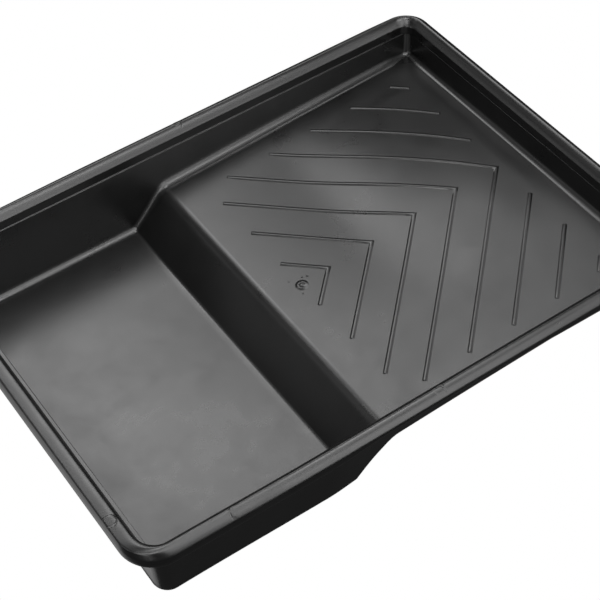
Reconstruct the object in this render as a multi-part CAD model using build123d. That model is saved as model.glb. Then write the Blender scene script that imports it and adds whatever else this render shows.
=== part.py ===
from build123d import *
import math
import os

# Paint roller tray: one thin-walled moulding with a deep well at one end, a sloping
# step, a shallow ribbed ramp and a ridged rim all round. Millimetres.
# +X runs from the well to the ramp end, +Y across, +Z up. The origin is under the
# middle of the rim, on the plane the tray rests on.

# ---- overall ----
LENGTH = 382.8            # over the rim
WIDTH = 280.0             # over the rim
HEIGHT = 61.2             # rest plane to the crown of the rim
WALL = 2.0                # general wall thickness
HALF_LENGTH = LENGTH / 2
HALF_WIDTH = WIDTH / 2

# ---- rim: rounded ridge on an inverted U, flanks sloping to both sides ----
RIM_WIDTH = 10.0
RIM_ROUND = 1.8           # crown radius between the flanks
FLANK_DROP = 5.4          # each flank slopes from the crown to its side of the U
FLANK_RUN = 4.1
CHANNEL_DROP = FLANK_DROP - 1.0   # the same slopes on the hollow underneath
CHANNEL_RUN = FLANK_RUN - 1.4
RIM_CORNER_WELL = 22.0    # outer plan radius at the well end
RIM_CORNER_RAMP = 18.0    # outer plan radius at the ramp end
SKIRT_DROP = 11.4         # crown to the lower edge of the outer skirt
SKIRT_Z = HEIGHT - SKIRT_DROP

# ---- ledge inside the rim and the drafted inner wall ----
LEDGE_DROP = 11.6         # crown to the ledge
LEDGE_Z = HEIGHT - LEDGE_DROP
WALL_TOP_Y = 128.8        # half width of the cavity at the ledge
WALL_FLOOR_Y = 123.0      # half width of the cavity at the well floor
WELL_END_TOP_X = -177.2
WELL_END_FLOOR_X = -173.85
RAMP_END_TOP_X = 180.7
RAMP_END_FLOOR_X = 173.9
CAVITY_CORNER_WELL = 8.0
CAVITY_CORNER_RAMP = 5.0

# ---- floor, step and ramp ----
STEP_BASE_X = -47.4
CREST_X = -22.6
RAMP_Z0 = 25.72           # ramp height at x = 0
RAMP_SLOPE = 0.0462       # rise per unit of x
CREST_RADIUS = 9.0
UNDER_CREST_RADIUS = CREST_RADIUS - 0.5 * WALL
FLOOR_FILLET = 4.3
UNDER_FILLET = 6.3
STEP_CUT_WELL_X = STEP_BASE_X - 6.0   # where the pan divides into its three pieces
STEP_CUT_RAMP_X = CREST_X + 8.0

# ---- ramp surface frame: x up the slope, z along its normal ----
RAMP_PLANE = Plane(origin=(0, 0, RAMP_Z0), x_dir=(1, 0, RAMP_SLOPE), z_dir=(-RAMP_SLOPE, 0, 1))
RAMP_STRETCH = math.hypot(1.0, RAMP_SLOPE)   # length up the slope per unit of x

# ---- chevron ribs on the ramp ----
RIB_PITCH = 33.065
RIB_FIRST_X = 22.407      # vertex of the chevron nearest the well
RIB_COUNT = 8             # rows; the last rows lose their vertex to the end margin
RIB_REACH = 105.19        # half width covered by the arms
RIB_MIN_X = 1.57          # arms stop here on the well side
RIB_MAX_X = 157.35        # arms stop here on the ramp-end side
RIB_WIDTH = 2.7           # at the foot; low round-topped section
RIB_HEIGHT = 0.52
RIB_RADIUS = (RIB_WIDTH ** 2 / 4 + RIB_HEIGHT ** 2) / (2 * RIB_HEIGHT)
RIB_OVERRUN = 3 * RIB_WIDTH   # extra arm length past the vertex, cut back to a mitre

# ---- injection gate vestige: a low ring on the ramp ----
GATE_X = 2.25
GATE_Y = -1.6
GATE_OUTER = 8.4          # diameters
GATE_INNER = 6.0
GATE_HEIGHT = 0.35

# ---- corner legs under the ramp end ----
LEG_TOP_SPAN = 46.0       # along each side at the skirt
LEG_FOOT_SPAN = 30.0      # along each side at the rest plane
LEG_DRAFT = 0.083         # inward run per unit of drop
LEG_BLOCK_X = -100.0      # well-side end of the blocks the legs are cut from
LEG_MASK_X = 230.0        # clear of the ramp end

# ---- extents of construction solids, clear of the tray ----
OVERCUT = 5.0
SECTION_FAR_X = 260.0
SLAB_FAR_X = 300.0
FAR_Y = 200.0


def rim_plate(inset, z_low, z_high):
    """Upright block on the rim's plan outline, moved inwards by inset."""
    body = Pos(0, 0, (z_low + z_high) / 2) * Box(
        2 * (HALF_LENGTH - inset), 2 * (HALF_WIDTH - inset), z_high - z_low)
    for side, radius in ((-1, RIM_CORNER_WELL), (1, RIM_CORNER_RAMP)):
        corners = [e for e in body.edges().filter_by(Axis.Z) if e.center().X * side > 0]
        body = fillet(corners, radius - inset)
    return body


def frustum(low, z_low, high, z_high):
    """Solid with plane sides between two rectangles (x0, x1, y0, y1)."""
    def corners(rect, z):
        x0, x1, y0, y1 = rect
        return [(x0, y0, z), (x1, y0, z), (x1, y1, z), (x0, y1, z)]

    bottom, top = corners(low, z_low), corners(high, z_high)
    loops = [list(reversed(bottom)), top]
    for i in range(4):
        j = (i + 1) % 4
        loops.append([bottom[i], bottom[j], top[j], top[i]])
    faces = [Face(Wire.make_polygon([Vector(*p) for p in loop], close=True)) for loop in loops]
    return Solid(Shell(faces))


def corner_edges(body, side):
    """Near-upright edges of a frustum at its -X (side -1) or +X (side 1) end."""
    return [e for e in body.edges()
            if abs(e.tangent_at(0.5).Z) > 0.9 and e.center().X * side > 0]


# ---- pan: well, step and ramp ----

def drafted_block(offset, z_low, z_high):
    """The cavity's drafted outline, grown outwards by offset."""
    def outline(z):
        k = (z - WALL) / (LEDGE_Z - WALL)
        half_y = WALL_FLOOR_Y + k * (WALL_TOP_Y - WALL_FLOOR_Y) + offset
        x0 = WELL_END_FLOOR_X + k * (WELL_END_TOP_X - WELL_END_FLOOR_X) - offset
        x1 = RAMP_END_FLOOR_X + k * (RAMP_END_TOP_X - RAMP_END_FLOOR_X) + offset
        return (x0, x1, -half_y, half_y)

    body = frustum(outline(z_low), z_low, outline(z_high), z_high)
    body = fillet(corner_edges(body, -1), CAVITY_CORNER_WELL + offset)
    return fillet(corner_edges(body, 1), CAVITY_CORNER_RAMP + offset)


def section_prism(offset, crest_radius, z_top):
    """Everything above the floor, step and ramp planes, each moved down by offset."""
    z_floor = WALL - offset
    rise = RAMP_Z0 + RAMP_SLOPE * CREST_X - WALL
    run = CREST_X - STEP_BASE_X
    slope = rise / run
    # Offsets are along the plane normals: taken along X for the step, Z for the ramp.
    step_x = STEP_BASE_X + offset * math.hypot(rise, run) / rise
    step_z0 = WALL - slope * step_x
    ramp_z0 = RAMP_Z0 - offset * RAMP_STRETCH
    base_x = step_x + (z_floor - WALL) / slope
    crest_x = (ramp_z0 - step_z0) / (slope - RAMP_SLOPE)
    crest_z = ramp_z0 + RAMP_SLOPE * crest_x
    section = [
        (-SECTION_FAR_X, z_floor),
        (base_x, z_floor),
        (crest_x, crest_z),
        (SECTION_FAR_X, ramp_z0 + RAMP_SLOPE * SECTION_FAR_X),
        (SECTION_FAR_X, z_top),
        (-SECTION_FAR_X, z_top),
    ]
    face = Face(Wire.make_polygon([Vector(x, -FAR_Y, z) for x, z in section], close=True))
    prism = Solid.extrude(face, Vector(0, 2 * FAR_Y, 0))
    crest = [e for e in prism.edges() if abs(e.tangent_at(0.5).Y) > 0.99
             and abs(e.center().X - crest_x) < 0.1 and abs(e.center().Z - crest_z) < 0.1]
    return fillet(crest, crest_radius)


def same_edge(first, second):
    return ((first.center() - second.center()).length < 1e-4
            and abs(first.length - second.length) < 1e-4)


def stepped_block(offset, crest_radius, edge_radius, z_top):
    """Drafted block whose rounded underside follows floor, step and ramp."""
    prism = section_prism(offset, crest_radius, z_top)
    body = drafted_block(offset, WALL - offset - OVERCUT, z_top) & prism
    body = body.solids()[0]
    # Edges that belong to only one downward face run round the underside.
    under = [f for f in body.faces() if f.normal_at(f.center()).Z < -0.3]
    edges = [e for f in under for e in f.edges()]
    border = [e for e in edges if sum(same_edge(e, other) for other in edges) == 1]
    return fillet(border, edge_radius)


def slab(x0, x1):
    """Block that keeps the length of the pan from x0 to x1."""
    return Pos((x0 + x1) / 2, 0, 50) * Box(x1 - x0, 2 * FAR_Y, 200)


# ---- rim ----

def top_loops(ring, z_top):
    """Top face of a ring, with the edges of its inner and outer loops."""
    top = [f for f in ring.faces()
           if abs(f.center().Z - z_top) < 1e-3 and f.normal_at(f.center()).Z > 0.99][0]
    wires = [top.outer_wire()] + list(top.inner_wires())
    wires.sort(key=lambda w: w.bounding_box().size.X)
    return top, wires[0].edges(), wires[-1].edges()


def slope_flanks(ring, z_top, run, drop):
    """Slopes the inner, then the outer top edge of a ring."""
    top, inner, _ = top_loops(ring, z_top)
    ring = chamfer(inner, run, drop, reference=top)
    top, _, outer = top_loops(ring, z_top)
    return chamfer(outer, run, drop, reference=top)


def rim_ring():
    """Hollow ridge; its inner side ends under the ledge, the outer skirt hangs lower."""
    full = rim_plate(0.0, SKIRT_Z, HEIGHT)
    opening = rim_plate(RIM_WIDTH, SKIRT_Z - OVERCUT, HEIGHT + OVERCUT)
    ring = slope_flanks(full - opening, HEIGHT, FLANK_RUN, FLANK_DROP)
    _, inner, outer = top_loops(ring, HEIGHT)
    ring = fillet(list(inner) + list(outer), RIM_ROUND)

    hollow = rim_plate(WALL, SKIRT_Z - OVERCUT, HEIGHT - WALL)
    core = rim_plate(RIM_WIDTH - WALL, SKIRT_Z - 2 * OVERCUT, HEIGHT)
    channel = slope_flanks(hollow - core, HEIGHT - WALL, CHANNEL_RUN, CHANNEL_DROP)
    below = rim_plate(RIM_WIDTH - WALL, SKIRT_Z - OVERCUT, LEDGE_Z - WALL)
    return ring - channel - below


def ledge_web():
    """Ledge and the inner side of the rim, before the cavity is cut out."""
    block = rim_plate(RIM_WIDTH - WALL, LEDGE_Z - WALL, HEIGHT - FLANK_DROP)
    upper = rim_plate(RIM_WIDTH, LEDGE_Z, HEIGHT + OVERCUT)
    return block - upper


# ---- legs ----

def leg_block(inset):
    """Drafted block under the skirt, rounded at the ramp end."""
    def outline(shrink):
        half_y = HALF_WIDTH - shrink
        return (LEG_BLOCK_X, HALF_LENGTH - shrink, -half_y, half_y)

    foot_shrink = SKIRT_Z * LEG_DRAFT + inset
    block = frustum(outline(foot_shrink), 0.0, outline(inset), SKIRT_Z)
    return fillet(corner_edges(block, 1), RIM_CORNER_RAMP - inset)


def leg(side):
    """Angle-shaped corner leg from the skirt to the rest plane, at +Y or -Y."""
    def mask_outline(span):
        y_range = sorted((side * (HALF_WIDTH - span), side * FAR_Y))
        return (HALF_LENGTH - span, LEG_MASK_X, *y_range)

    foot_span = SKIRT_Z * LEG_DRAFT + LEG_FOOT_SPAN
    mask = frustum(mask_outline(foot_span), 0.0, mask_outline(LEG_TOP_SPAN), SKIRT_Z)
    return (leg_block(0.0) - leg_block(WALL)) & mask


# ---- details on the ramp ----

def rib_arm(vertex_x, side):
    """One arm of a chevron, in the ramp frame."""
    start_x = min(vertex_x, RIB_MAX_X)
    end_x = max(vertex_x - RIB_REACH, RIB_MIN_X)
    start = Vector(start_x * RAMP_STRETCH, side * (vertex_x - start_x), 0)
    end = Vector(end_x * RAMP_STRETCH, side * (vertex_x - end_x), 0)
    has_vertex = start_x == vertex_x
    if has_vertex:
        start = start + (start - end).normalized() * RIB_OVERRUN
    span = end - start
    middle = (start + end) * 0.5
    turn = math.degrees(math.atan2(span.Y, span.X))
    core = Pos(0, 0, RIB_HEIGHT - RIB_RADIUS) * Rot(0, 90, 0) * Cylinder(RIB_RADIUS, span.length)
    core = core & (Pos(0, 0, RIB_HEIGHT / 2) * Box(span.length, RIB_WIDTH + 1, RIB_HEIGHT))
    bar = Pos(middle.X, middle.Y, 0) * Rot(0, 0, turn) * core
    if has_vertex:
        # Mitre at y = 0, where the other arm meets this one.
        bar = bar & (Pos(0, side * FAR_Y, 0) * Box(800, 2 * FAR_Y, 20))
    return bar


def chevron_ribs():
    solids = []
    for row in range(RIB_COUNT):
        vertex_x = RIB_FIRST_X + row * RIB_PITCH
        arms = [rib_arm(vertex_x, side) for side in (1, -1)]
        bars = [arms[0] + arms[1]] if vertex_x <= RIB_MAX_X else arms
        solids += [RAMP_PLANE.location * bar.solids()[0] for bar in bars]
    return Compound(children=solids)


def gate_vestige():
    ring = Cylinder(GATE_OUTER / 2, GATE_HEIGHT) - Cylinder(GATE_INNER / 2, GATE_HEIGHT)
    return RAMP_PLANE.location * (Pos(GATE_X * RAMP_STRETCH, GATE_Y, GATE_HEIGHT / 2) * ring)


def main():
    os.makedirs("parts", exist_ok=True)

    cavity = stepped_block(0.0, CREST_RADIUS, FLOOR_FILLET, HEIGHT + 2 * OVERCUT)
    outer = stepped_block(WALL, UNDER_CREST_RADIUS, UNDER_FILLET, LEDGE_Z - WALL)
    shell = outer - cavity

    parts = {
        "well_pan": shell & slab(-SLAB_FAR_X, STEP_CUT_WELL_X),
        "step_wall": shell & slab(STEP_CUT_WELL_X, STEP_CUT_RAMP_X),
        "ramp_pan": shell & slab(STEP_CUT_RAMP_X, SLAB_FAR_X),
        "rim_bead": rim_ring() + (ledge_web() - cavity),
        "chevron_ribs": chevron_ribs(),
        "gate_vestige": gate_vestige(),
        "ramp_leg_far": leg(1),
        "ramp_leg_near": leg(-1),
    }
    for name, shape in parts.items():
        solids = shape.solids()
        item = solids[0] if len(solids) == 1 else Compound(children=list(solids))
        export_step(item, f"parts/{name}.step")


main()
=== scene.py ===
"""Black moulded tray with a deep well, a step and a ribbed ramp, standing on a pale floor.

The tray lies along x: the well is at -x and the ramp rises towards +x. The near side is -y,
the far side +y, and z is up from the underside of the well. Shapes are worked out in
millimetres and scaled to metres when a mesh is made; stage, lights and camera are in metres.
"""
import bmesh
import bpy
import math
import numpy as np
from mathutils import Matrix, Vector


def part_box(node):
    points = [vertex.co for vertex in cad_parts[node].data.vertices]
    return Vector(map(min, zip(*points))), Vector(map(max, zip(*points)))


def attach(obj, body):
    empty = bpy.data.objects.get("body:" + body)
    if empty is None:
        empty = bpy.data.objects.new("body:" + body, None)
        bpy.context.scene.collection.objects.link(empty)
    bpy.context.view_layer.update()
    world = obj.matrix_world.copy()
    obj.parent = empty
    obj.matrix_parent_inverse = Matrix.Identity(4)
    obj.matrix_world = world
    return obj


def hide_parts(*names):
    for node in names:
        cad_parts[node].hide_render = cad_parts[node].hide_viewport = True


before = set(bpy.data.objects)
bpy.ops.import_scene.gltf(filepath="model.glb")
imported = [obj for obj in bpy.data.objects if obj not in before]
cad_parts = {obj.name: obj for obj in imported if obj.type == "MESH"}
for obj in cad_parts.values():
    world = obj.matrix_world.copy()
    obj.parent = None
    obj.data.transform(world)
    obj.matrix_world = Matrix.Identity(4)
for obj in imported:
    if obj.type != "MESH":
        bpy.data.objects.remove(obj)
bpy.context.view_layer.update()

MM = 0.001

# ------------------------------------------------------------------ main sizes (mm)
rim_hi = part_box("rim_bead")[1]
leg_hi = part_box("ramp_leg_far")[1]

HALF_L = rim_hi.x / MM
HALF_W = rim_hi.y / MM
H = rim_hi.z / MM
WALL = 2.0                              # wall thickness, so also the height of the well floor
RIM_W = 10.0                            # rim width on the sides and ramp end
WELL_RIM_W = RIM_W + 0.9                # rim width at the well end
RIM_R_WELL, RIM_R_RAMP = 22.0, 18.0     # outer plan radii of the rim at the two ends
FLANK_DROP, CROWN_POWER = 5.5, 1.65     # fall of the rim's flanks and the power of their curve
SKIRT_Z = leg_hi.z / MM                 # lower edge of the rim's outer skirt
LEDGE_Z = H - 11.6                      # ledge between the rim and the walls

# inner faces of the walls, at floor height (foot) and at the ledge (top)
FOOT_Y, TOP_Y = 123.0, 129.3
FOOT_X0, TOP_X0 = -173.85, -177.2       # well end
FOOT_X1, TOP_X1 = 173.9, 181.25         # ramp end
FOOT_R_WELL, FOOT_R_RAMP = 7.0, 4.5     # plan corner radii
TOP_R_WELL, TOP_R_RAMP = 5.0, 4.0
SIDE_START, SIDE_END = FOOT_X0 + FOOT_R_WELL, FOOT_X1 - FOOT_R_RAMP

STEP_BASE, CREST = -47.4, -22.6         # x of the step's foot and of its crest
BASE_HALF, CREST_HALF = 0.45, 4.0       # half lengths of the rounding at foot and crest
RAMP_Z0, SLOPE = 25.716, 0.0462         # ramp height at x = 0 and its slope
STEP_SLOPE = (RAMP_Z0 + SLOPE * CREST - WALL) / (CREST - STEP_BASE)


# ------------------------------------------------------------------ helpers
def ease(t):
    """Smooth step from 0 to 1."""
    t = np.clip(t, 0.0, 1.0)
    return t * t * (3 - 2 * t)


def fade(value, start, length):
    """Smooth step that leaves 0 at start and reaches 1 after length."""
    return ease((value - start) / length)


def bezier(start, corner, end, t):
    return start * (1 - t) ** 2 + corner * 2 * t * (1 - t) + end * t * t


def shade_smooth(mesh):
    mesh.polygons.foreach_set("use_smooth", [True] * len(mesh.polygons))


def new_object(name, verts, faces):
    """Flat-shaded object from vertices in metres."""
    mesh = bpy.data.meshes.new(name)
    mesh.from_pydata([tuple(v) for v in verts], [], faces)
    mesh.validate()
    mesh.update()
    obj = bpy.data.objects.new(name, mesh)
    bpy.context.scene.collection.objects.link(obj)
    return obj


def smooth_object(name, verts, faces, weld=False):
    """Smooth-shaded object from vertices in mm, with its normals turned outward."""
    obj = new_object(name, np.array(verts) * MM, faces)
    shade_smooth(obj.data)
    bm = bmesh.new()
    bm.from_mesh(obj.data)
    if weld:
        bmesh.ops.remove_doubles(bm, verts=bm.verts, dist=2e-6)
        bmesh.ops.dissolve_degenerate(bm, edges=bm.edges, dist=1e-6)
    bmesh.ops.recalc_face_normals(bm, faces=bm.faces)
    bm.to_mesh(obj.data)
    bm.free()
    shade_smooth(obj.data)              # covers faces remade by the weld
    return obj


# ------------------------------------------------------------------ floor profile
def rounded_corner(x, corner_x, corner_z, half, slope_a, slope_b):
    """Height of two lines meeting at a corner that is rounded over half on each side."""
    d = x - corner_x
    line = corner_z + np.where(d < 0, slope_a * d, slope_b * d)
    t = np.clip((d + half) / (2 * half), 0, 1)
    curve = (corner_z - slope_a * half + slope_a * 2 * half * t
             + (slope_b - slope_a) * half * t * t)
    return np.where(np.abs(d) < half, curve, line)


def floor_z(x, off=0.0):
    """Height of well floor, step and ramp, lowered along the normal by off."""
    x = np.asarray(x, float)
    well_z = WALL - off
    shift = off * math.hypot(1.0, STEP_SLOPE) / STEP_SLOPE
    base = STEP_BASE + shift - off / STEP_SLOPE
    step_z0 = well_z - STEP_SLOPE * base
    ramp_z0 = RAMP_Z0 - off * math.hypot(1.0, SLOPE)
    crest = (ramp_z0 - step_z0) / (STEP_SLOPE - SLOPE)
    crest_z = ramp_z0 + SLOPE * crest
    lower = rounded_corner(x, base, well_z, BASE_HALF, 0.0, STEP_SLOPE)
    upper = rounded_corner(x, crest, crest_z, CREST_HALF, STEP_SLOPE, SLOPE)
    return np.where(x < (base + crest) / 2, lower, upper)


def smooth_curve(pairs, lo, hi, sigma=6.0):
    """Curve through (position, value) pairs, blurred and sampled every millimetre."""
    at = np.arange(lo - 40, hi + 41, 1.0)
    values = np.interp(at, [p[0] for p in pairs], [p[1] for p in pairs])
    reach = 24
    kernel = np.exp(-0.5 * (np.arange(-reach, reach + 1) / sigma) ** 2)
    padded = np.pad(values, reach, mode="edge")
    return at, np.convolve(padded, kernel / kernel.sum(), mode="valid")


# share of the bulge along x and along y: (position, share)
BULGE_X = smooth_curve([
    (40, 0), (55, 0.06), (66, 0.28), (81, 0.62), (93, 0.83), (105, 0.99), (117, 1.04),
    (128, 1.01), (140, 0.90), (150, 0.64), (160, 0.36), (170, 0.08), (176, 0)], 0, 190)
BULGE_Y = smooth_curve([
    (-90, 0), (-66, 0.0), (-52, 0.14), (-40, 0.36), (-28, 0.6), (-14, 0.84), (5, 1.0),
    (25, 1.04), (48, 0.98), (72, 0.82), (88, 0.62), (101, 0.40), (113, 0.14), (121, 0)],
    -130, 130)
BULGE = 4.7


def bulge(x, y):
    """Moulding warp: height of the ramp's floor above a flat plane."""
    return BULGE * np.interp(x, *BULGE_X) * np.interp(y, *BULGE_Y)


def ramp_top(x, y):
    return RAMP_Z0 + SLOPE * x + bulge(x, y)


# ------------------------------------------------------------------ stations round the plan
def merge(base, extra):
    """Both sets of stations in order, without the base ones that lie close to an extra one."""
    clear = np.min(np.abs(base[:, None] - extra[None, :]), axis=1) > 0.0006
    return np.array(sorted(list(base[clear]) + list(extra)))


def side_stations():
    """Shares 0..1 from the well-end corner to the ramp-end one, dense at step and marks."""
    near_base = np.array([-1.6, -0.8, -0.45, -0.3, -0.15, 0, 0.15, 0.3, 0.45, 0.8, 1.6])
    xs = list(np.linspace(SIDE_START, STEP_BASE - 3, 34))
    xs += list(STEP_BASE + near_base)
    xs += list(np.linspace(STEP_BASE + 3, CREST - 5.4, 12))
    xs += list(CREST + np.linspace(-4.6, 4.6, 25))
    xs += list(np.linspace(CREST + 5.6, SIDE_END, 52))
    shares = (np.array(sorted(xs)) - SIDE_START) / (SIDE_END - SIDE_START)
    marks = np.concatenate([np.arange(-5.0, 8.01, 0.3), np.arange(-137.5, -129.9, 0.3)])
    rim_straight = 2 * HALF_L - RIM_R_WELL - RIM_R_RAMP
    return merge(shares, (marks + HALF_L - RIM_R_WELL) / rim_straight)


def end_stations():
    """Shares 0..1 across an end from near to far, dense at the rim marks."""
    marks = np.arange(-112.0, -98.9, 0.3)
    half_straight = HALF_W - RIM_R_WELL
    return merge(np.linspace(0, 1, 45), (marks + half_straight) / (2 * half_straight))


SIDE_T = side_stations()
END_T = end_stations()
N_SIDE, N_END = len(SIDE_T), len(END_T)
ARC = 14                                # segments in a corner

# Every loop has the same stations. These are their indices, part by part.
part_starts = np.cumsum([0] + [N_SIDE, ARC - 1, N_END, ARC - 1] * 2)
(NEAR, RAMP_NEAR, RAMP, RAMP_FAR, FAR, WELL_FAR, WELL, WELL_NEAR) = [
    np.arange(a, b) for a, b in zip(part_starts[:-1], part_starts[1:])]
TOTAL = int(part_starts[-1])


def plan_loop(x0, x1, y, r0, r1):
    """Plan points of one loop and their outward normals.

    x0, r0 are the well end and its corner radius, x1, r1 the ramp end's. y is the half width,
    one value or one for each side station. Order: near side from the well end, ramp end,
    far side, well end.
    """
    points, normals = [], []

    def arc(cx, cy, radius, start):
        for k in range(1, ARC):
            a = start + (math.pi / 2) * k / ARC
            points.append((cx + radius * math.cos(a), cy + radius * math.sin(a)))
            normals.append((math.cos(a), math.sin(a)))

    def side(shares, half_widths, sign):
        for t, half in zip(shares, half_widths):
            points.append((x0 + r0 + t * (x1 - r1 - x0 - r0), sign * half))
            normals.append((0, sign))

    def end(shares, x, half, radius, sign):
        for t in shares:
            points.append((x, (-half + radius) + t * 2 * (half - radius)))
            normals.append((sign, 0))

    ys = np.broadcast_to(np.asarray(y, float), N_SIDE)
    side(SIDE_T, ys, -1)
    arc(x1 - r1, -ys[-1] + r1, r1, -math.pi / 2)
    end(END_T, x1, ys[-1], r1, 1)
    arc(x1 - r1, ys[-1] - r1, r1, 0.0)
    side(SIDE_T[::-1], ys[::-1], 1)
    arc(x0 + r0, ys[0] - r0, r0, math.pi / 2)
    end(END_T[::-1], x0, ys[0], r0, -1)
    arc(x0 + r0, -ys[0] + r0, r0, math.pi)
    return np.array(points), np.array(normals)


def at_height(plan, z):
    """Plan points lifted to z, one value or one for each point."""
    return np.column_stack([plan, np.broadcast_to(z, len(plan))])


def rim_loop(inset, z):
    """Level loop, inset from the rim's outer edge."""
    plan, _ = plan_loop(-HALF_L + inset, HALF_L - inset, HALF_W - inset,
                        RIM_R_WELL - inset, RIM_R_RAMP - inset)
    return at_height(plan, z)


def wall_at(z, off):
    """Wall faces at height z, grown outward by off: well-end x, ramp-end x, half width."""
    k = (z - WALL) / (LEDGE_Z - WALL)
    return (FOOT_X0 + k * (TOP_X0 - FOOT_X0) - off,
            FOOT_X1 + k * (TOP_X1 - FOOT_X1) + off,
            FOOT_Y + k * (TOP_Y - FOOT_Y) + off)


def top_outline(off):
    """Plan of the walls at ledge height."""
    return plan_loop(*wall_at(LEDGE_Z, off), TOP_R_WELL + off, TOP_R_RAMP + off)[0]


def foot_outline(off):
    """Plan and normals of the line where walls would meet the floor, following its height."""
    x0 = wall_at(WALL - off, off)[0]
    x1 = wall_at(float(floor_z(FOOT_X1, off)), off)[1]
    r0, r1 = FOOT_R_WELL + off, FOOT_R_RAMP + off
    xs = x0 + r0 + SIDE_T * (x1 - r1 - x0 - r0)
    height_share = (floor_z(xs, off) - WALL) / (LEDGE_Z - WALL)
    return plan_loop(x0, x1, FOOT_Y + height_share * (TOP_Y - FOOT_Y) + off, r0, r1)


# ------------------------------------------------------------------ walls, fillet and floor
N_WALL, N_FILLET, N_FLAT = 10, 9, 4     # bands down the wall, round the fillet, on the floor


def fillet_radii(well, side_well, side_ramp, corner, ramp_end):
    """Fillet radius between wall and floor at each station.

    well: well end and its corners; side_well, side_ramp: sides beside well and ramp;
    corner: ramp-end corners; ramp_end: middle of the ramp end.
    """
    xs = SIDE_START + SIDE_T * (SIDE_END - SIDE_START)
    side = side_well + (side_ramp - side_well) * fade(xs, STEP_BASE, CREST - STEP_BASE + 6)
    to_corner = fade(xs, SIDE_END - 14, 14)
    side = side * (1 - to_corner) + corner * to_corner
    from_well = fade(xs, SIDE_START, 12)
    side = side * from_well + well * (1 - from_well)
    radii = np.zeros(TOTAL)
    radii[NEAR] = side
    radii[FAR] = side[::-1]
    for part in (RAMP_NEAR, RAMP_FAR):
        radii[part] = corner
    for part in (WELL_FAR, WELL, WELL_NEAR):
        radii[part] = well
    radii[RAMP] = corner + (ramp_end - corner) * ease(np.minimum(END_T, 1 - END_T) * 20)
    return radii


def pan_loops(off, radii, start_z=LEDGE_Z):
    """Loops down the wall from start_z, round the fillet and in over the floor's edge."""
    top_plan = top_outline(off)
    foot_plan, normals = foot_outline(off)
    foot_z = floor_z(foot_plan[:, 0], off)
    draft = np.linalg.norm(top_plan - foot_plan, axis=1) / (LEDGE_Z - foot_z)
    turn = math.pi / 2 - np.arctan(draft)       # angle turned by the fillet
    tangent = radii * np.tan(turn / 2)          # from the corner to where the fillet starts
    top = at_height(top_plan, LEDGE_Z)
    foot = at_height(foot_plan, foot_z)
    start = foot + (top - foot) * ((start_z - foot_z) / (LEDGE_Z - foot_z))[:, None]
    end = foot + (top - foot) * (tangent / np.linalg.norm(top - foot, axis=1))[:, None]

    def inward(distance, rise=0.0):
        plan = foot_plan - normals * distance[:, None]
        return at_height(plan, floor_z(plan[:, 0], off) + rise)

    loops = []
    for j in range(N_WALL + 1):
        t = j / N_WALL
        loops.append(start * (1 - t) + end * t)
    for j in range(1, N_FILLET + 1):
        a = turn * (1 - j / N_FILLET)
        loops.append(inward(tangent - radii * np.sin(a), radii - radii * np.cos(a)))

    # the last floor loop lies as far in as the corner centres, so its corners close up
    r_well, r_ramp = FOOT_R_WELL + off, FOOT_R_RAMP + off
    side = (r_well + (r_ramp - r_well) * SIDE_T
            + 6.0 * ease(np.minimum(SIDE_T, 1 - SIDE_T) * 12))
    reach = np.zeros(TOTAL)
    reach[NEAR] = side
    reach[FAR] = side[::-1]
    for part in (RAMP_NEAR, RAMP, RAMP_FAR):
        reach[part] = r_ramp
    for part in (WELL_FAR, WELL, WELL_NEAR):
        reach[part] = r_well
    for j in range(1, N_FLAT + 1):
        t = j / N_FLAT
        loops.append(inward(tangent * (1 - t) + reach * t))
    return loops


# ------------------------------------------------------------------ rim crown
# Profiles are (inset from the rim's outer edge, height) from the outside in.
def side_profile():
    """Two curved flanks meeting over the middle, eased into the skirt and the inner leg."""
    mid = RIM_W / 2
    outer, inner = 0.90, 0.95           # shares of the flanks kept before the easing
    steps = 22

    def flank_z(u):
        return H - FLANK_DROP * u ** CROWN_POWER

    low = H - FLANK_DROP
    points = []
    for t in (0.0, 0.2, 0.4, 0.6, 0.8):
        points.append(tuple(bezier(np.array([0.0, low - 0.9]), np.array([0.0, low]),
                                   np.array([mid * 0.10, flank_z(outer)]), t)))
    for k in range(steps):
        u = outer * (1 - k / steps)
        points.append((mid * (1 - u), flank_z(u)))
    for k in range(steps + 1):
        u = inner * k / steps
        points.append((mid * (1 + u), flank_z(u)))
    for t in (0.25, 0.5, 0.75, 1.0):
        points.append(tuple(bezier(np.array([mid * (1 + inner), flank_z(inner)]),
                                   np.array([RIM_W, low]), np.array([RIM_W, low - 0.4]), t)))
    return points


def well_profile(count):
    """Tight outer edge, broad gently rising top and tight inner edge, as count points."""
    edge, peak, fall = 0.6, 5.2, 7.8    # insets of outer edge, highest point and inner edge
    sag = 0.2                           # outer edge below the highest point
    dip = 0.22                          # inner edge below the highest point
    points = [(0.0, H - FLANK_DROP - 0.9)]
    for k in range(40):
        u = 1 - k / 40
        z = H - sag - 0.04 * u - (FLANK_DROP - sag - 0.04) * u ** 1.6
        points.append((edge * (1 - u), z))
    for k in range(30):
        t = k / 30
        points.append((edge + (peak - edge) * t, H - sag * (1 - t) ** 1.6))
    for k in range(20):
        t = k / 20
        points.append((peak + (fall - peak) * t, H - dip * t * t))
    for k in range(41):
        u = k / 40
        z = H - dip - 0.8 * u - (FLANK_DROP - 0.02) * u ** 1.5
        points.append((fall + (WELL_RIM_W - fall) * u, z))
    points.append((WELL_RIM_W, H - FLANK_DROP - 1.4))
    points = np.array(points)
    # space the points evenly along the profile, then soften it
    run = np.concatenate([[0], np.cumsum(np.hypot(*np.diff(points, axis=0).T))])
    at = np.linspace(0, run[-1], count)
    inset = np.interp(at, run, points[:, 0])
    z = np.interp(at, run, points[:, 1])
    for _ in range(2):
        for row in (inset, z):
            row[1:-1] = 0.25 * row[:-2] + 0.5 * row[1:-1] + 0.25 * row[2:]
    return list(zip(inset, z))


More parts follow.
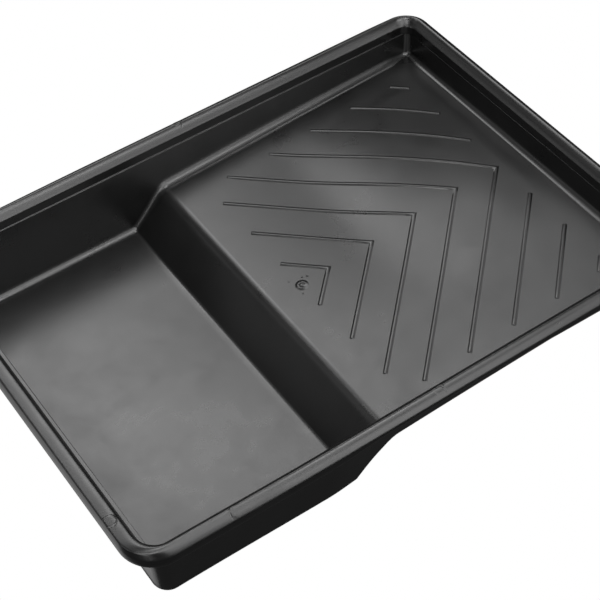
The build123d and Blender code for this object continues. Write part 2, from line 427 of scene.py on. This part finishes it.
def well_share():
    """1 along the well end, fading to 0 round its two corners."""
    share = np.zeros(TOTAL)
    share[WELL] = 1.0
    rising = ease(np.arange(1, ARC) / ARC)
    share[WELL_FAR] = rising
    share[WELL_NEAR] = rising[::-1]
    return share


def crown_loops():
    """Loops over the crown, blending the side profile into the well-end one."""
    side = side_profile()
    well = well_profile(len(side))
    share = well_share()
    normals = foot_outline(0.0)[1]      # the normals are the same for every loop
    loops = []
    for (side_inset, side_z), (well_inset, well_z) in zip(side, well):
        points = rim_loop(side_inset, side_z)
        points[:, :2] -= normals * (share * (well_inset - side_inset))[:, None]
        points[:, 2] += share * (well_z - side_z)
        loops.append(points)
    return loops


# ------------------------------------------------------------------ mould marks on the rim
# fine grooves: points (x, y), and the depth at each point
GROOVES = [
    ([(0.6, -131.8), (2.0, -133.7), (4.1, -135.6), (5.6, -137.4), (5.8, -139.0)],
     [0.5, 0.55, 0.5, 0.3, 0.05]),
    ([(0.3, -132.4), (-0.4, -133.9), (-1.1, -135.9), (-1.4, -137.8)],
     [0.1, 0.16, 0.14, 0.0]),
    ([(-190.9, -107.9), (-189.6, -108.7), (-187.8, -109.0), (-186.2, -108.5),
      (-184.9, -107.6)],
     [0.2, 0.6, 0.7, 0.6, 0.15]),
    ([(-190.6, -103.4), (-189.3, -101.9), (-187.6, -101.3), (-186.0, -102.3),
      (-184.9, -104.2), (-184.4, -106.8)],
     [0.0, 0.12, 0.14, 0.12, 0.1, 0.0]),
    ([(-132.6, -131.8), (-133.8, -134.5), (-134.4, -136.2), (-134.6, -137.6),
      (-134.3, -139.2)],
     [0.1, 0.16, 0.35, 0.5, 0.1]),
    ([(4.4, 136.6), (3.6, 135.2), (2.1, 133.0), (0.9, 132.0)],
     [0.0, 0.4, 0.35, 0.0]),
]
GROOVE_HALF = 0.42                      # half width of a groove
# raised patches under the grooves: centre x, y, half lengths along x and y, height
PATCHES = [
    (2.0, -135.6, 3.6, 3.0, 0.16), (-188.0, -105.0, 4.0, 4.2, 0.28),
    (-131.6, -136.8, 2.4, 3.0, 0.10), (-0.2, 135.6, 3.6, 1.8, 0.16),
]


def rim_marks(verts):
    """Height the patches and grooves add at each vertex of the rim's top."""
    change = np.zeros(len(verts))
    on_top = verts[:, 2] > H - 4.5
    for x, y, half_x, half_y, height in PATCHES:
        spread = ((verts[:, 0] - x) / half_x) ** 2 + ((verts[:, 1] - y) / half_y) ** 2
        change += np.where(on_top, height * ease((1.0 - spread) / 0.35), 0.0)
    for points, depths in GROOVES:
        nearest = np.full(len(verts), 9.0)
        depth = np.zeros(len(verts))
        for start, end, depth_a, depth_b in zip(points[:-1], points[1:],
                                                depths[:-1], depths[1:]):
            start = np.array(start)
            along = np.array(end) - start
            t = np.clip(((verts[:, :2] - start) @ along) / (along @ along), 0, 1)
            distance = np.linalg.norm(verts[:, :2] - start - t[:, None] * along, axis=1)
            closer = distance < nearest
            nearest = np.where(closer, distance, nearest)
            depth = np.where(closer, depth_a + (depth_b - depth_a) * t, depth)
        change -= np.where(on_top, depth * ease(1.0 - nearest / GROOVE_HALF), 0.0)
    return change


# ------------------------------------------------------------------ moulding warp
RIM_DRAW = 1.5          # near rim drawn in towards the well-end corner
LOW_BOW = 1.4           # lower part of the near side bowed out
WALL_BOW = 4.0          # side walls bowed in; a quarter of this at half height
FAR_STAND = 1.1         # far rim's outer flank stood out along its middle
SKIRT_LIFT = 3.8        # near skirt's lower edge raised beside the step
FLOOR_CURL = 0.5        # ramp floor raised along the far wall


def warp(verts):
    """The tray's vertices with rim marks and moulding warp; each step acts on the last."""
    verts = verts.copy()
    x, y, z = verts.T                   # views, so changes land in verts
    z += rim_marks(verts)

    near = ease(-y / 120.0)
    high = fade(z, 12, 36.0)
    rim = RIM_DRAW * (1 - fade(x, -190, 120.0))
    low = -LOW_BOW * fade(x, -165, 120.0)
    low *= 1 - 1.5 * fade(x, -68, 36.0) * (1 - fade(x, 10, 100.0) / 3.0)
    y += near * (rim * high + low * (1 - high))

    height = np.clip((z - WALL) / (LEDGE_Z - WALL), 0, 1)
    y -= np.sign(y) * fade(np.abs(y), 100, 20.0) * WALL_BOW * height * (1 - height)

    # the ramp-end rim leans out by up to 1 mm
    x += fade(x, 181.4, 10.0) * fade(z, 47, 3.0)

    y += FAR_STAND * fade(y, 132, 8.0) * fade(x, -190, 130.0) * (1 - fade(x, 150, 40.0))

    lift = SKIRT_LIFT * fade(x, -75, 45.0) * (1 - fade(x, 10, 130.0))
    z += lift * fade(-y, 135, 1.5) * (1 - fade(z, SKIRT_Z + 0.6, 4.4))

    on_ramp = (np.abs(y) < 121) & (x > 20) & (x < 175)
    z += np.where(on_ramp, bulge(x, y), 0.0)

    curl = FLOOR_CURL * fade(y, 96, 24.0) * fade(x, CREST - 14, 12.0)
    curl *= 1 - fade(x, 30, 150.0)
    z += curl * (1 - fade(z, 38, 12.0)) * (y < 131)
    return verts


# ------------------------------------------------------------------ tray
class Skin:
    """Vertices and faces gathered ring by ring."""

    def __init__(self):
        self.rings, self.faces, self.count = [], [], 0

    def ring(self, points):
        ids = np.arange(self.count, self.count + len(points))
        self.rings.append(np.asarray(points, float))
        self.count += len(points)
        return ids

    def band(self, a, b):
        for i in range(len(a)):
            j = (i + 1) % len(a)
            self.faces.append((int(a[i]), int(b[i]), int(b[j]), int(a[j])))

    def verts(self):
        return np.concatenate(self.rings)

    def fill(self, last, off, flip):
        """Fills the last floor loop, whose corners have closed up, with a grid."""
        points = self.verts()
        near, far = last[NEAR], last[FAR][::-1]
        grid = np.zeros((N_SIDE, N_END), int)
        grid[:, 0] = near
        grid[:, -1] = far
        grid[0, 1:-1] = last[WELL][::-1][1:-1]
        grid[-1, 1:-1] = last[RAMP][1:-1]
        inner = []
        for i in range(1, N_SIDE - 1):
            x, y_near = points[near[i]][:2]
            y_far = points[far[i]][1]
            z = float(floor_z(x, off))
            for j in range(1, N_END - 1):
                grid[i, j] = self.count + len(inner)
                inner.append((x, y_near + (y_far - y_near) * END_T[j], z))
        self.ring(np.array(inner))
        for i in range(N_SIDE - 1):
            for j in range(N_END - 1):
                quad = (int(grid[i, j]), int(grid[i + 1, j]),
                        int(grid[i + 1, j + 1]), int(grid[i, j + 1]))
                self.faces.append(quad[::-1] if flip else quad)


def upper_loops():
    """From the skirt's lower edge over the crown, down to the ledge, the wall and the floor."""
    loops = [rim_loop(inset, SKIRT_Z + rise)
             for inset, rise in ((0.9, 0), (0.25, 0.15), (0.0, 0.7), (0.0, 3.0))]
    loops += crown_loops()

    # inner leg of the rim, meeting the ledge in a small fillet
    leg_foot = rim_loop(RIM_W, LEDGE_Z)
    leg_foot[:, 0] += (WELL_RIM_W - RIM_W) * well_share()
    edge = at_height(top_outline(0.0), LEDGE_Z)
    gap = np.linalg.norm(edge[:, :2] - leg_foot[:, :2], axis=1)
    across = (edge - leg_foot) / np.maximum(gap, 1e-6)[:, None]
    root = np.minimum(1.5, gap * 0.45)
    for k in range(6):
        a = (math.pi / 2) * k / 5
        points = leg_foot + across * (root * (1 - math.cos(a)))[:, None]
        points[:, 2] = LEDGE_Z + root * (1 - math.sin(a))
        loops.append(points)

    # ledge, its rounded edge, then the wall
    radii = fillet_radii(well=4.4, side_well=6.0, side_ramp=6.6, corner=3.4, ramp_end=4.6)
    pan = pan_loops(0.0, radii)
    down = pan[1] - pan[0]
    down /= np.linalg.norm(down, axis=1)[:, None]
    rounding = np.minimum(0.55, gap * 0.45)[:, None]
    wall_start = edge + down * rounding
    for k in range(6):
        loops.append(bezier(edge - across * rounding, edge, wall_start, k / 5))
    for j in range(1, N_WALL + 1):
        t = j / N_WALL
        loops.append(wall_start * (1 - t) + pan[N_WALL] * t)
    return loops + pan[N_WALL + 1:]


def under_loops():
    """From the skirt's inner edge up the channel under the rim and down the outer wall."""
    loops = [rim_loop(WALL - inset, SKIRT_Z + rise)
             for inset, rise in ((0.7, 0), (0.15, 0.2), (0, 0.8))]
    # channel roof: an elliptical outer quarter, then a curve into the inner leg
    half, rise, roof_z = RIM_W / 2 - WALL, 4.0, H - WALL - 0.2
    for k in range(9):
        a = (math.pi / 2) * k / 8
        loops.append(rim_loop(WALL + half - half * math.cos(a),
                              roof_z - rise + rise * math.sin(a)))
    for k in range(1, 9):
        inset, z = bezier(np.array([RIM_W / 2, roof_z]),
                          np.array([RIM_W - WALL, roof_z - 1.0]),
                          np.array([RIM_W - WALL, H - WALL - 5.6]), k / 8)
        loops.append(rim_loop(inset, z))

    # rounded turn out under the ledge, then wall and floor
    radii = fillet_radii(well=6.4, side_well=6.4, side_ramp=6.1, corner=5.4, ramp_end=6.6)
    pan = pan_loops(WALL, radii, start_z=LEDGE_Z - WALL)
    leg_foot = rim_loop(RIM_W - WALL, LEDGE_Z - WALL)
    above = leg_foot + np.array([0, 0, 0.9])
    beside = leg_foot + (pan[0] - leg_foot) * 0.35
    for k in range(1, 6):
        loops.append(bezier(above, leg_foot, beside, k / 5))
    return loops + pan


def build_tray():
    skin = Skin()
    upper = [skin.ring(points) for points in upper_loops()]
    for a, b in zip(upper[:-1], upper[1:]):
        skin.band(a, b)
    skin.fill(upper[-1], 0.0, flip=False)
    under = [skin.ring(points) for points in under_loops()]
    skin.band(under[0], upper[0])
    for a, b in zip(under[:-1], under[1:]):
        skin.band(b, a)
    skin.fill(under[-1], WALL, flip=True)
    return smooth_object("tray_moulding", warp(skin.verts()), skin.faces, weld=True)


# ------------------------------------------------------------------ chevron ribs
RIB_W, RIB_H = 2.7, 0.52
RIB_COUNT, RIB_PITCH = 8, 33.065
RIB_FIRST = 22.407                      # x of the first V's point
RIB_REACH = 105.19                      # length of an arm along x
RIB_X0, RIB_X1 = 1.57, 157.35           # the ribs are cut off at these x
# rounding of an arm's end: distance past the end, width share, height share, drop
RIB_END = [(0.0, 1.0, 1.0, 0.0), (0.3, 0.97, 0.93, 0.0), (0.55, 0.9, 0.7, 0.0),
           (0.7, 0.82, 0.3, 0.0), (0.8, 0.75, 0.0, 0.2)]


def rib_section():
    """Arc-topped section with small feet: (across, up) from the ramp's surface."""
    radius = (RIB_W ** 2 / 4 + RIB_H ** 2) / (2 * RIB_H)
    half_angle = math.asin(RIB_W / 2 / radius)
    points = [(-RIB_W / 2 - 0.35, -0.12), (-RIB_W / 2 - 0.16, 0.01)]
    for k in range(1, 16):
        a = -half_angle + 2 * half_angle * k / 16
        points.append((radius * math.sin(a), RIB_H - radius + radius * math.cos(a)))
    return points + [(RIB_W / 2 + 0.16, 0.01), (RIB_W / 2 + 0.35, -0.12)]


def build_ribs():
    """Low bars in rows of V pointing to +x, mitred at the point, following the ramp's warp."""
    section = rib_section()
    diagonal = math.sqrt(0.5)
    verts, faces = [], []

    def ring(x, y, across_x, across_y, width=1.0, height=1.0, drop=0.0):
        first = len(verts)
        for across, up in section:
            px, py = x + across_x * across * width, y + across_y * across * width
            verts.append((px, py, float(ramp_top(px, py)) + (up * height - drop)))
        verts.append((x, y, float(ramp_top(x, y)) - 0.8))
        return list(range(first, len(verts)))

    def arm(tip, side, x_from, x_to):
        """Rings between the two ends of an arm; side is 1 for far, -1 for near."""
        count = max(2, int(abs(x_to - x_from) / 4.0))
        rings = []
        for i in range(1, count):
            x = x_from + (x_to - x_from) * i / count
            rings.append(ring(x, side * (tip - x), diagonal, side * diagonal))
        return rings

    def arm_end(tip, side, x, heading):
        """Rings closing an arm at x; heading is -1 for its -x end, 1 for its +x end."""
        y = side * (tip - x)
        dx, dy = heading * diagonal, -heading * side * diagonal
        return [ring(x + dx * d, y + dy * d, diagonal, side * diagonal, width, height, drop)
                for d, width, height, drop in RIB_END]

    def skin(rings):
        count = len(rings[0])
        for a, b in zip(rings[:-1], rings[1:]):
            for i in range(count):
                j = (i + 1) % count
                faces.append((a[i], b[i], b[j], a[j]))
        faces.append(tuple(rings[0]))
        faces.append(tuple(rings[-1][::-1]))

    for k in range(RIB_COUNT):
        tip = RIB_FIRST + k * RIB_PITCH
        start = max(tip - RIB_REACH, RIB_X0)
        if tip <= RIB_X1:               # whole V, from its far arm round to its near arm
            rings = arm_end(tip, 1, start, -1)[::-1]
            rings += arm(tip, 1, start, tip)
            rings.append(ring(tip, 0, math.sqrt(2), 0))
            rings += arm(tip, -1, tip, start)
            rings += arm_end(tip, -1, start, -1)
            skin(rings)
        else:                           # the point is cut off, leaving two separate arms
            for side in (1, -1):
                rings = arm_end(tip, side, start, -1)[::-1]
                rings += arm(tip, side, start, RIB_X1)
                rings += arm_end(tip, side, RIB_X1, 1)
                skin(rings)
    return smooth_object("rib_rows", verts, faces)


# ------------------------------------------------------------------ gate mark
DISH = 0.30                             # height share in the middle of the swelling
SWELLING = (-0.6, 0.3, 4.5, 0.62)       # x, y from the gate's centre, radius, height
SPECKS = [                              # the same columns
    (6.0, 4.2, 0.95, 0.30), (3.0, 5.4, 0.75, 0.22),
    (-3.9, -5.6, 0.7, 0.16), (-5.6, 7.6, 0.6, 0.14),
]


def swelling_share(r, a, radius):
    """Height share of the swelling: dished, slightly wavy, and open on one side."""
    body = DISH + (1 - DISH) * float(fade(r, 0.6, 1.7))
    body *= 1 - float(fade(r, 2.4, radius - 2.4))
    wave = 1 + 0.10 * math.sin(3 * a + 0.6) + 0.06 * math.sin(5 * a)
    opening = 0.75 * max(0.0, math.cos(a + 1.15)) ** 1.3 * float(ease(r / 2.0))
    return body * (wave * (1 - opening))


def speck_share(r, a, radius):
    return 1 - float(ease(r / radius))


def build_gate():
    """A low dished swelling on the ramp with a few specks beside it."""
    gate_lo, gate_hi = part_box("gate_vestige")
    gate_x, gate_y = (gate_lo.x + gate_hi.x) / 2 / MM, (gate_lo.y + gate_hi.y) / 2 / MM
    verts, faces = [], []

    def mound(dx, dy, radius, height, share, centre_share, rings, around):
        cx, cy = gate_x + dx, gate_y + dy
        base = len(verts)
        verts.append((cx, cy, float(ramp_top(cx, cy)) + height * centre_share))
        for i in range(1, rings + 1):
            r = radius * i / rings
            for k in range(around):
                a = 2 * math.pi * k / around
                x, y = cx + r * math.cos(a), cy + r * math.sin(a)
                sink = 0.03 * (i == rings)      # the outer ring dips under the surface
                z = float(ramp_top(x, y)) + height * share(r, a, radius) - sink
                verts.append((x, y, z))
        low = len(verts)
        for x, y, z in verts[-around:]:
            verts.append((x, y, z - 0.6))
        for k in range(around):
            j = (k + 1) % around
            faces.append((base, base + 1 + k, base + 1 + j))
            # the lower ring follows the outer one, so the last band is the mound's side
            for o in range(base + 1, low, around):
                faces.append((o + k, o + around + k, o + around + j, o + j))
        faces.append(tuple(low + k for k in range(around))[::-1])

    mound(*SWELLING, swelling_share, DISH, rings=16, around=48)
    for speck in SPECKS:
        mound(*speck, speck_share, 1.0, rings=6, around=16)
    return smooth_object("gate_mark", verts, faces)


# ------------------------------------------------------------------ legs
def build_leg(name, node_name):
    """The CAD leg with its edges eased."""
    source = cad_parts[node_name]
    bm = bmesh.new()
    bm.from_mesh(source.data)
    bm.transform(source.matrix_world)
    bmesh.ops.remove_doubles(bm, verts=bm.verts, dist=1e-6)
    bmesh.ops.dissolve_limit(bm, angle_limit=math.radians(2), verts=bm.verts, edges=bm.edges)
    sharp = [e for e in bm.edges
             if len(e.link_faces) == 2 and e.calc_face_angle(0) > math.radians(25)]
    bmesh.ops.bevel(bm, geom=sharp, offset=0.0007, segments=3, profile=0.5,
                    affect="EDGES", clamp_overlap=True)
    bmesh.ops.triangulate(bm, faces=[f for f in bm.faces if len(f.verts) > 4])
    bmesh.ops.recalc_face_normals(bm, faces=bm.faces)
    mesh = bpy.data.meshes.new(name)
    bm.to_mesh(mesh)
    bm.free()
    obj = bpy.data.objects.new(name, mesh)
    bpy.context.scene.collection.objects.link(obj)
    shade_smooth(mesh)
    mesh.set_sharp_from_angle(angle=math.radians(35))
    return obj


# ------------------------------------------------------------------ materials
WHITE = (1, 1, 1, 1)


def empty_tree(owner):
    """Node tree of a material or world, cleared."""
    owner.use_nodes = True
    owner.node_tree.nodes.clear()
    return owner.node_tree


def black_plastic(name, base=0.002, roughness=0.30):
    """Near-black plastic with mottled tone and gloss, soft waviness and a fine grain."""
    material = bpy.data.materials.new(name)
    tree = empty_tree(material)
    new, link = tree.nodes.new, tree.links.new
    output = new("ShaderNodeOutputMaterial")
    bsdf = new("ShaderNodeBsdfPrincipled")
    link(bsdf.outputs[0], output.inputs[0])
    coords = new("ShaderNodeTexCoord")
    mapping = new("ShaderNodeMapping")
    link(coords.outputs["Object"], mapping.inputs[0])

    def noise(scale, detail, roughness, distortion):
        node = new("ShaderNodeTexNoise")
        node.inputs["Scale"].default_value = scale
        node.inputs["Detail"].default_value = detail
        node.inputs["Roughness"].default_value = roughness
        node.inputs["Distortion"].default_value = distortion
        link(mapping.outputs[0], node.inputs["Vector"])
        return node.outputs["Fac"]

    def spread(source, centre, swing):
        """Maps the noise's middle range to centre - swing .. centre + swing."""
        node = new("ShaderNodeMapRange")
        node.inputs["From Min"].default_value = 0.3
        node.inputs["From Max"].default_value = 0.7
        node.inputs["To Min"].default_value = centre - swing
        node.inputs["To Max"].default_value = centre + swing
        link(source, node.inputs["Value"])
        return node.outputs[0]

    def combine(operation, a, b):
        """Math node on a socket and either a socket or a number."""
        node = new("ShaderNodeMath")
        node.operation = operation
        link(a, node.inputs[0])
        if isinstance(b, float):
            node.inputs[1].default_value = b
        else:
            link(b, node.inputs[1])
        return node.outputs[0]

    def bump(height, strength, distance):
        node = new("ShaderNodeBump")
        node.inputs["Strength"].default_value = strength
        node.inputs["Distance"].default_value = distance
        link(height, node.inputs["Height"])
        return node

    broad = noise(scale=14.0, detail=4.0, roughness=0.6, distortion=0.8)
    mid = noise(scale=60.0, detail=4.0, roughness=0.6, distortion=0.4)
    fine = noise(scale=900.0, detail=2.0, roughness=0.5, distortion=0.0)

    tone = combine("MULTIPLY", spread(broad, centre=1, swing=0.10),
                   spread(mid, centre=1, swing=0.06))
    value = combine("MULTIPLY", tone, base)
    colour = new("ShaderNodeCombineColor")
    for channel in range(3):
        link(value, colour.inputs[channel])
    link(colour.outputs[0], bsdf.inputs["Base Color"])

    gloss = combine("ADD", spread(broad, centre=0, swing=0.035), roughness)
    gloss = combine("ADD", gloss, spread(mid, centre=0, swing=0.02))
    link(gloss, bsdf.inputs["Roughness"])
    bsdf.inputs["IOR"].default_value = 1.49

    grain = bump(fine, strength=0.08, distance=0.0002)
    waviness = bump(mid, strength=0.07, distance=0.0006)
    link(grain.outputs[0], waviness.inputs["Normal"])
    link(waviness.outputs[0], bsdf.inputs["Normal"])
    return material


def pale_floor():
    """Plain white that gives its own light."""
    material = bpy.data.materials.new("pale_floor")
    tree = empty_tree(material)
    output = tree.nodes.new("ShaderNodeOutputMaterial")
    emission = tree.nodes.new("ShaderNodeEmission")
    emission.inputs["Color"].default_value = WHITE
    emission.inputs["Strength"].default_value = 1.0
    tree.links.new(emission.outputs[0], output.inputs[0])
    return material


# ------------------------------------------------------------------ the product
PLASTIC = black_plastic("black_moulded_plastic")


def dress(obj):
    obj.data.materials.clear()
    obj.data.materials.append(PLASTIC)
    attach(obj, "root")


tray = build_tray()
dress(tray)
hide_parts("well_pan", "step_wall", "ramp_pan", "rim_bead")

rib_rows = build_ribs()
dress(rib_rows)
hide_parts("chevron_ribs")

gate_mark = build_gate()
dress(gate_mark)
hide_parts("gate_vestige")

for leg_name, cad_name in (("leg_far", "ramp_leg_far"), ("leg_near", "ramp_leg_near")):
    leg = build_leg(leg_name, cad_name)
    dress(leg)
    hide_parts(cad_name)

# ------------------------------------------------------------------ stage (m from here on)
FLOOR_HALF, FLOOR_Z = 6.0, -0.0002


def build_floor():
    """White floor that the camera sees but that lights and shades nothing."""
    corners = [(sx * FLOOR_HALF, sy * FLOOR_HALF, FLOOR_Z)
               for sx, sy in ((-1, -1), (1, -1), (1, 1), (-1, 1))]
    material = pale_floor()
    floor = new_object("floor", corners, [(0, 1, 2, 3)])
    floor.data.materials.append(material)
    floor.visible_diffuse = False
    floor.visible_glossy = False
    floor.visible_shadow = False
    return floor


build_floor()

# ------------------------------------------------------------------ world
scene = bpy.context.scene
scene.view_settings.view_transform = "Standard"
scene.view_settings.look = "None"
scene.view_settings.exposure = 0.0
scene.view_settings.gamma = 1.0


def build_world(fill, backdrop):
    """White world: fill is its strength as light, backdrop its strength to the camera."""
    world = bpy.data.worlds.new("studio")
    scene.world = world
    tree = empty_tree(world)
    output = tree.nodes.new("ShaderNodeOutputWorld")
    light_path = tree.nodes.new("ShaderNodeLightPath")
    mix = tree.nodes.new("ShaderNodeMixShader")
    tree.links.new(light_path.outputs["Is Camera Ray"], mix.inputs[0])
    for socket, strength in ((1, fill), (2, backdrop)):
        background = tree.nodes.new("ShaderNodeBackground")
        background.inputs["Color"].default_value = WHITE
        background.inputs["Strength"].default_value = strength
        tree.links.new(background.outputs[0], mix.inputs[socket])
    tree.links.new(mix.outputs[0], output.inputs[0])


build_world(fill=0.0643, backdrop=1.0)

# ------------------------------------------------------------------ lights
# The ceiling is made of square boxes at one height, facing straight down: x, y, power.
CEILING_Z = 0.850
CEILING_FAR = [
    (-0.270, 0.420, 0.470), (0.070, 0.420, 0.612), (0.070, 0.590, 0.736),
    (0.070, 0.760, 0.617), (0.070, 0.930, 0.778), (0.240, 0.420, 0.740),
    (0.240, 0.590, 0.370), (0.240, 0.760, 0.470), (0.240, 0.930, 0.480),
    (0.240, 1.100, 0.300), (0.410, 0.250, 0.700), (0.410, 0.420, 0.520),
    (0.580, 0.420, 0.330), (0.750, 0.590, 0.233), (0.920, 0.590, 0.277),
    (0.920, 1.270, 0.290),
]
CEILING_NEAR = [(-0.100, -0.200, 3.202), (0.250, -0.550, 2.685), (0.250, -0.200, 0.444)]
CEILING_ROW = [
    (-0.100, 0.420, 0.200), (-0.100, 0.590, 0.260), (-0.100, 0.760, 0.260),
    (-0.100, 0.930, 0.300),
]
# boxes round the tray, at three heights: place, facing, power
SURROUND = [
    ((-0.966, 0.701, 0.155), (0.805, -0.585, -0.105), 1.071),
    ((-1.193, 0.000, 0.155), (0.995, 0.000, -0.105), 2.000),
    ((-0.966, -0.701, 0.155), (0.805, 0.585, -0.105), 3.130),
    ((0.369, -1.135, 0.155), (-0.307, 0.946, -0.105), 3.161),
    ((0.966, -0.701, 0.155), (-0.805, 0.585, -0.105), 7.674),
    ((1.113, 0.000, 0.480), (-0.927, 0.000, -0.375), 1.489),
    ((-0.556, 0.964, 0.480), (0.464, -0.803, -0.375), 0.617),
    ((0.000, -1.113, 0.480), (0.000, 0.927, -0.375), 3.042),
    ((0.556, -0.964, 0.480), (-0.464, 0.803, -0.375), 0.920),
    ((-0.772, 0.446, 0.833), (0.644, -0.372, -0.669), 0.628),
    ((-0.631, -0.631, 0.833), (0.525, 0.525, -0.669), 5.075),
    ((-0.155, -0.878, 0.833), (0.129, 0.732, -0.669), 3.431),
    ((0.377, -0.808, 0.833), (-0.314, 0.674, -0.669), 2.788),
    ((0.892, 0.000, 0.833), (-0.743, 0.000, -0.669), 1.131),
]
# one weak box below the floor, facing up and towards the near side
BELOW = [((-0.260, 0.175, -0.360), (0.170, -0.600, 0.770), 0.250)]


def ceiling(table):
    """Ceiling entries as (place, facing, power)."""
    return [((x, y, CEILING_Z), (0, 0, -1), power) for x, y, power in table]


def softbox(name, place, facing, size, power):
    light = bpy.data.lights.new(name, "AREA")
    light.shape = "SQUARE"
    light.size = size
    light.energy = power
    obj = bpy.data.objects.new(name, light)
    obj.location = place
    obj.rotation_mode = "QUATERNION"
    obj.rotation_quaternion = Vector(facing).to_track_quat("-Z", "Y")
    scene.collection.objects.link(obj)


LIGHT_GROUPS = [                        # box size, boxes
    (0.17, ceiling(CEILING_FAR)),
    (0.30, ceiling(CEILING_NEAR)),
    (0.50, SURROUND),
    (0.17, ceiling(CEILING_ROW)),
    (0.40, BELOW),
]
boxes = [(place, facing, size, power)
         for size, group in LIGHT_GROUPS for place, facing, power in group]
for number, box in enumerate(boxes):
    softbox("softbox_%02d" % number, *box)

# ------------------------------------------------------------------ camera
CAMERA_PLACE = Vector((-0.3400088, -0.5555298, 0.7492204))
CAMERA_RIGHT = Vector((0.8230786, -0.5660574, -0.0460499))
CAMERA_DOWN = Vector((-0.4502128, -0.6009034, -0.6604722))
CAMERA_FORWARD = Vector((0.3461937, 0.5643528, -0.749437))


def build_camera():
    data = bpy.data.cameras.new("camera")
    camera = bpy.data.objects.new("camera", data)
    scene.collection.objects.link(camera)
    scene.camera = camera
    turn = Matrix((CAMERA_RIGHT, -CAMERA_DOWN, -CAMERA_FORWARD)).transposed()
    camera.matrix_world = Matrix.Translation(CAMERA_PLACE) @ turn.to_4x4()
    data.sensor_width = 36.0
    data.lens = 95.4186
    data.shift_x = -0.001108333333
    data.shift_y = -0.000095
    data.clip_start = 0.01
    data.clip_end = 50.0


build_camera()
